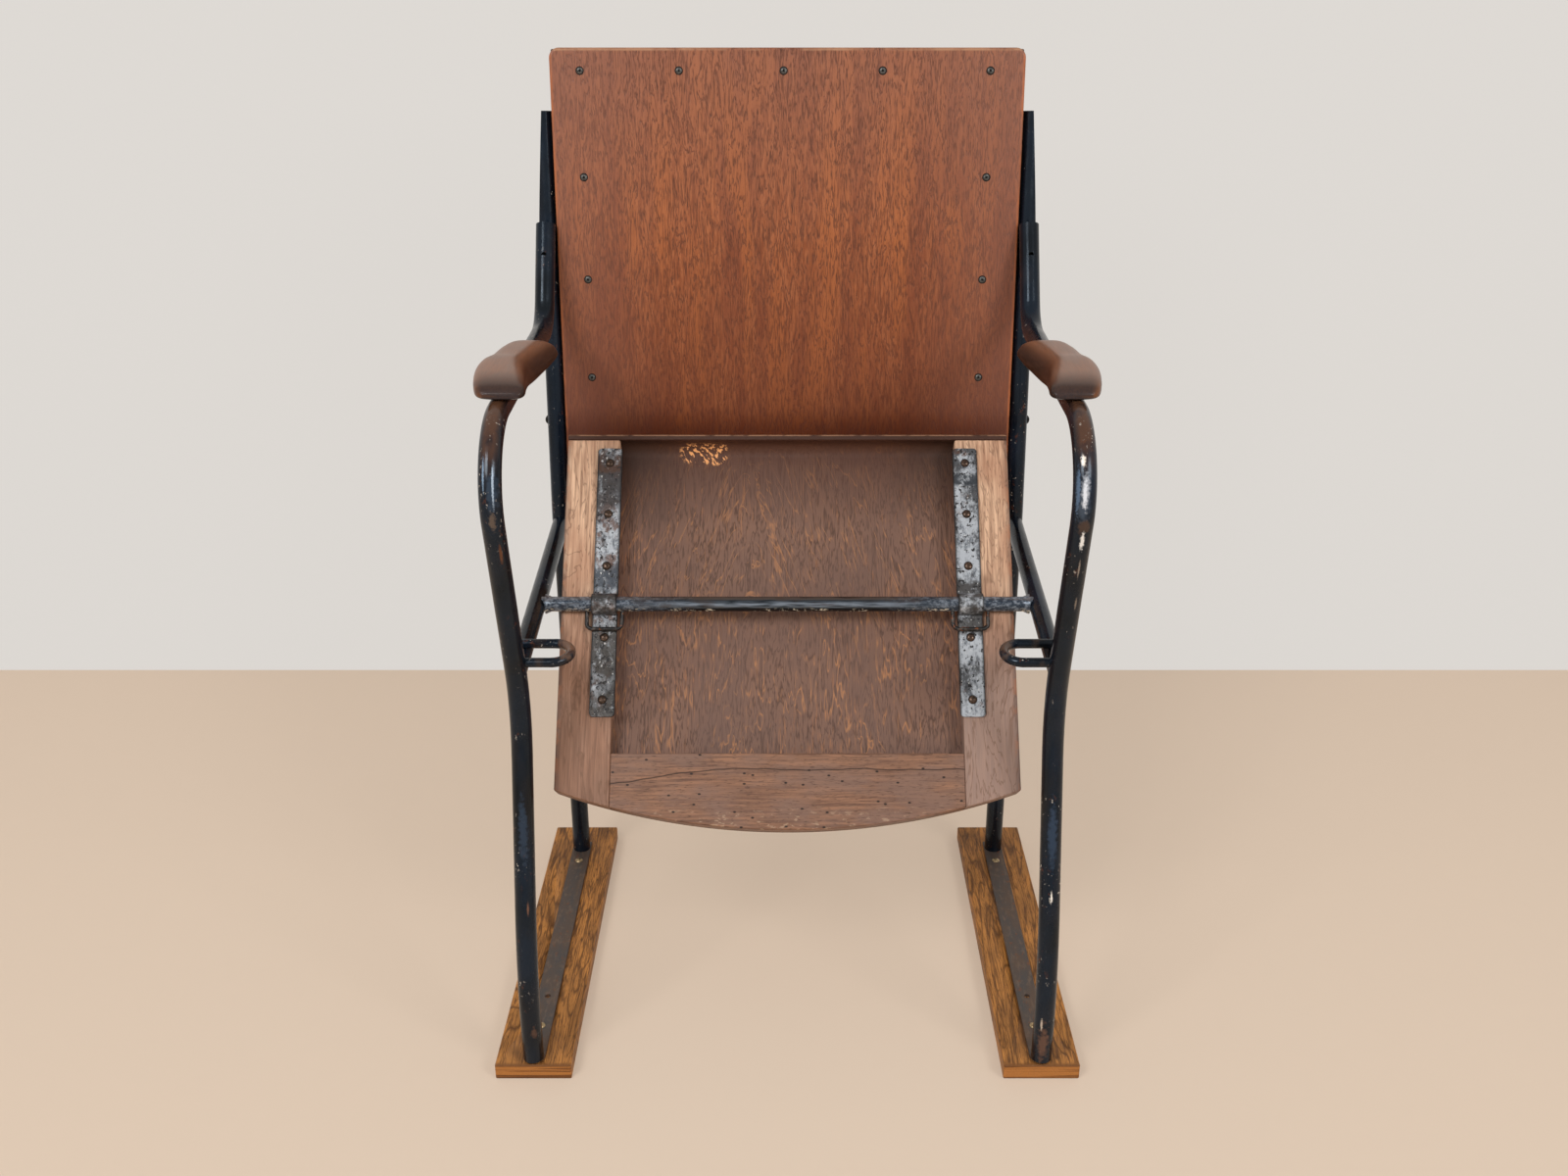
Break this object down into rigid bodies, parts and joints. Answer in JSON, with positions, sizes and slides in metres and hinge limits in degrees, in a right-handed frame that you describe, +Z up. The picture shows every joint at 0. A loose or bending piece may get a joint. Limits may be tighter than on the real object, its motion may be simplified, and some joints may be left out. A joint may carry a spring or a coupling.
{
  "type": "tip-up chair",
  "caption": "Armchair whose framed plywood seat tips up on a cross tube between two bent steel tube side frames that stand on wooden runners.",
  "frame": {"origin": "centre of the overall box, on the floor", "axes": "+Z up, +Y towards the chair's back, +X across the chair, to a sitter's left"},
  "size_m": [0.575, 0.4532, 0.9329],
  "materials": {
    "black_paint": "worn black paint with chips and a little rust",
    "strap_steel": "pitted bare steel with rust",
    "dark_screws": "browned slotted and cross-head steel screws",
    "brass": "dull brass",
    "runner_oak": "oiled oak with an open grain",
    "arm_wood": "hand-worn dark beech",
    "back_veneer": "varnished red-brown veneer, fine upright grain",
    "back_frame_wood": "dark stained beech",
    "seat_veneer": "dark stained plywood, scratched",
    "seat_frame_wood": "worn stained beech"
  },
  "bodies": {
    "frame": {"runner_left": "runner_oak", "runner_right": "runner_oak", "foot_strap_left": "black_paint", "foot_strap_right": "black_paint", "foot_screws": "brass", "arm_tube_left": "black_paint", "arm_tube_right": "black_paint", "rear_post_left": "black_paint", "rear_post_right": "black_paint", "seat_rail_left": "black_paint", "seat_rail_right": "black_paint", "seat_rest_left": "black_paint", "seat_rest_right": "black_paint", "cross_tube": "black_paint", "tip_stop_left": "black_paint", "tip_stop_right": "black_paint", "armrest_left": "arm_wood", "armrest_right": "arm_wood", "armrest_screws": "dark_screws", "arm_rivets": "dark_screws", "back_panel": "back_veneer", "back_top_rail": "back_frame_wood", "back_bottom_rail": "back_frame_wood", "back_stile_left": "back_frame_wood", "back_stile_right": "back_frame_wood", "back_panel_screws": "dark_screws", "back_bolts": "dark_screws"},
    "seat": {"seat_panel": "seat_veneer", "seat_stile_left": "seat_frame_wood", "seat_stile_right": "seat_frame_wood", "seat_rear_rail": "seat_frame_wood", "hinge_strap_left": "strap_steel", "hinge_strap_right": "strap_steel", "hinge_screws": "dark_screws", "seat_panel_screws": "dark_screws"}
  },
  "joints": [
    {"name": "seat_tip", "type": "hinge", "parent": "frame", "child": "seat", "pos_m": [0, -0.02414, 0.42252], "axis": [1, 0, 0], "range_deg": [0, 128.9]}
  ]
}
